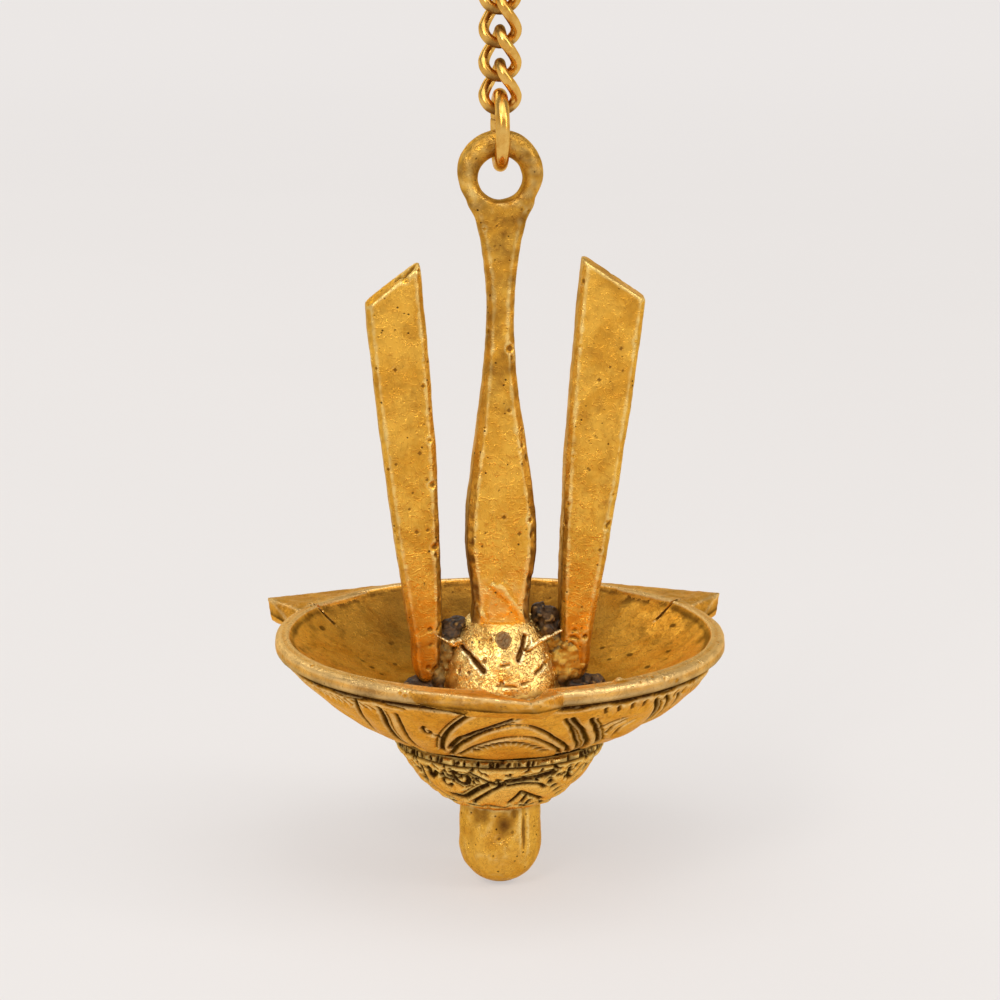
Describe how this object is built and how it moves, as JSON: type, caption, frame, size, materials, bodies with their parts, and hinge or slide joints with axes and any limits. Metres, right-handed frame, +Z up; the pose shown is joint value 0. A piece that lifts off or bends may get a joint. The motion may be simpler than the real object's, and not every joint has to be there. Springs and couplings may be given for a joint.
{
  "type": "hanging oil lamp",
  "caption": "Hanging brass oil lamp: round bowl with pointed wick spouts, a trident of uprights, a carved cup and knob below, on a curb chain and hook.",
  "frame": {"origin": "the hanging point, at the inside of the hook's bend, where the hook sits on its nail or rod", "axes": "+Z up along the chain, -Y to the front of the lamp with its middle spout, +X to the right of someone facing the front"},
  "size_m": [0.0839, 0.086, 0.224],
  "materials": {
    "wire_brass": "polished golden wire with a few fine scratches",
    "aged_brass": "antique brass, rubbed bright, with casting pits and brown patina",
    "bowl_brass": "antique brass, darker and smoky inside, carved underside with dark recesses",
    "carved_brass": "carved antique brass with dark brown patina in the recesses",
    "filed_brass": "bright filed brass with file marks",
    "dark_rivet": "dark dull brass",
    "sooty_braze": "rough braze metal, blackened by soot",
    "stud_brass": "plain turned brass"
  },
  "bodies": {
    "hook": {"hanging_hook": "wire_brass"},
    "upper_ring": {"top_ring": "wire_brass"},
    "link_1": {"chain_link_1": "wire_brass"},
    "link_2": {"chain_link_2": "wire_brass"},
    "link_3": {"chain_link_3": "wire_brass"},
    "link_4": {"chain_link_4": "wire_brass"},
    "link_5": {"chain_link_5": "wire_brass"},
    "link_6": {"chain_link_6": "wire_brass"},
    "link_7": {"chain_link_7": "wire_brass"},
    "lower_ring": {"jump_ring": "wire_brass"},
    "lamp": {"centre_stem": "aged_brass", "left_bar": "aged_brass", "right_bar": "aged_brass", "centre_boss": "filed_brass", "boss_rivet": "dark_rivet", "left_braze": "sooty_braze", "right_braze": "sooty_braze", "oil_bowl": "bowl_brass", "carved_base_cup": "carved_brass", "finial_knob": "aged_brass", "centre_stud": "stud_brass"}
  },
  "joints": [
    {"name": "upper_ring_swing", "type": "hinge", "parent": "hook", "child": "upper_ring", "pos_m": [0, 0, -0.0337], "axis": [0, 1, 0], "range_deg": [-25, 25]},
    {"name": "link_1_swing", "type": "hinge", "parent": "upper_ring", "child": "link_1", "pos_m": [0, 0, -0.04255], "axis": [1, 0, 0], "range_deg": [-20, 20]},
    {"name": "link_2_swing", "type": "hinge", "parent": "link_1", "child": "link_2", "pos_m": [0, 0, -0.0457], "axis": [0, 1, 0], "range_deg": [-20, 20]},
    {"name": "link_3_swing", "type": "hinge", "parent": "link_2", "child": "link_3", "pos_m": [0, 0, -0.0537], "axis": [1, 0, 0], "range_deg": [-20, 20]},
    {"name": "link_4_swing", "type": "hinge", "parent": "link_3", "child": "link_4", "pos_m": [0, 0, -0.0571], "axis": [0, 1, 0], "range_deg": [-20, 20]},
    {"name": "link_5_swing", "type": "hinge", "parent": "link_4", "child": "link_5", "pos_m": [0, 0, -0.0651], "axis": [1, 0, 0], "range_deg": [-20, 20]},
    {"name": "link_6_swing", "type": "hinge", "parent": "link_5", "child": "link_6", "pos_m": [0, 0, -0.0685], "axis": [0, 1, 0], "range_deg": [-20, 20]},
    {"name": "link_7_swing", "type": "hinge", "parent": "link_6", "child": "link_7", "pos_m": [0, 0, -0.0765], "axis": [1, 0, 0], "range_deg": [-20, 20]},
    {"name": "lower_ring_swing", "type": "hinge", "parent": "link_7", "child": "lower_ring", "pos_m": [0, 0, -0.07965], "axis": [0, 1, 0], "range_deg": [-25, 25]},
    {"name": "lamp_swing", "type": "hinge", "parent": "lower_ring", "child": "lamp", "pos_m": [0, 0, -0.08772], "axis": [1, 0, 0], "range_deg": [-20, 20]}
  ]
}
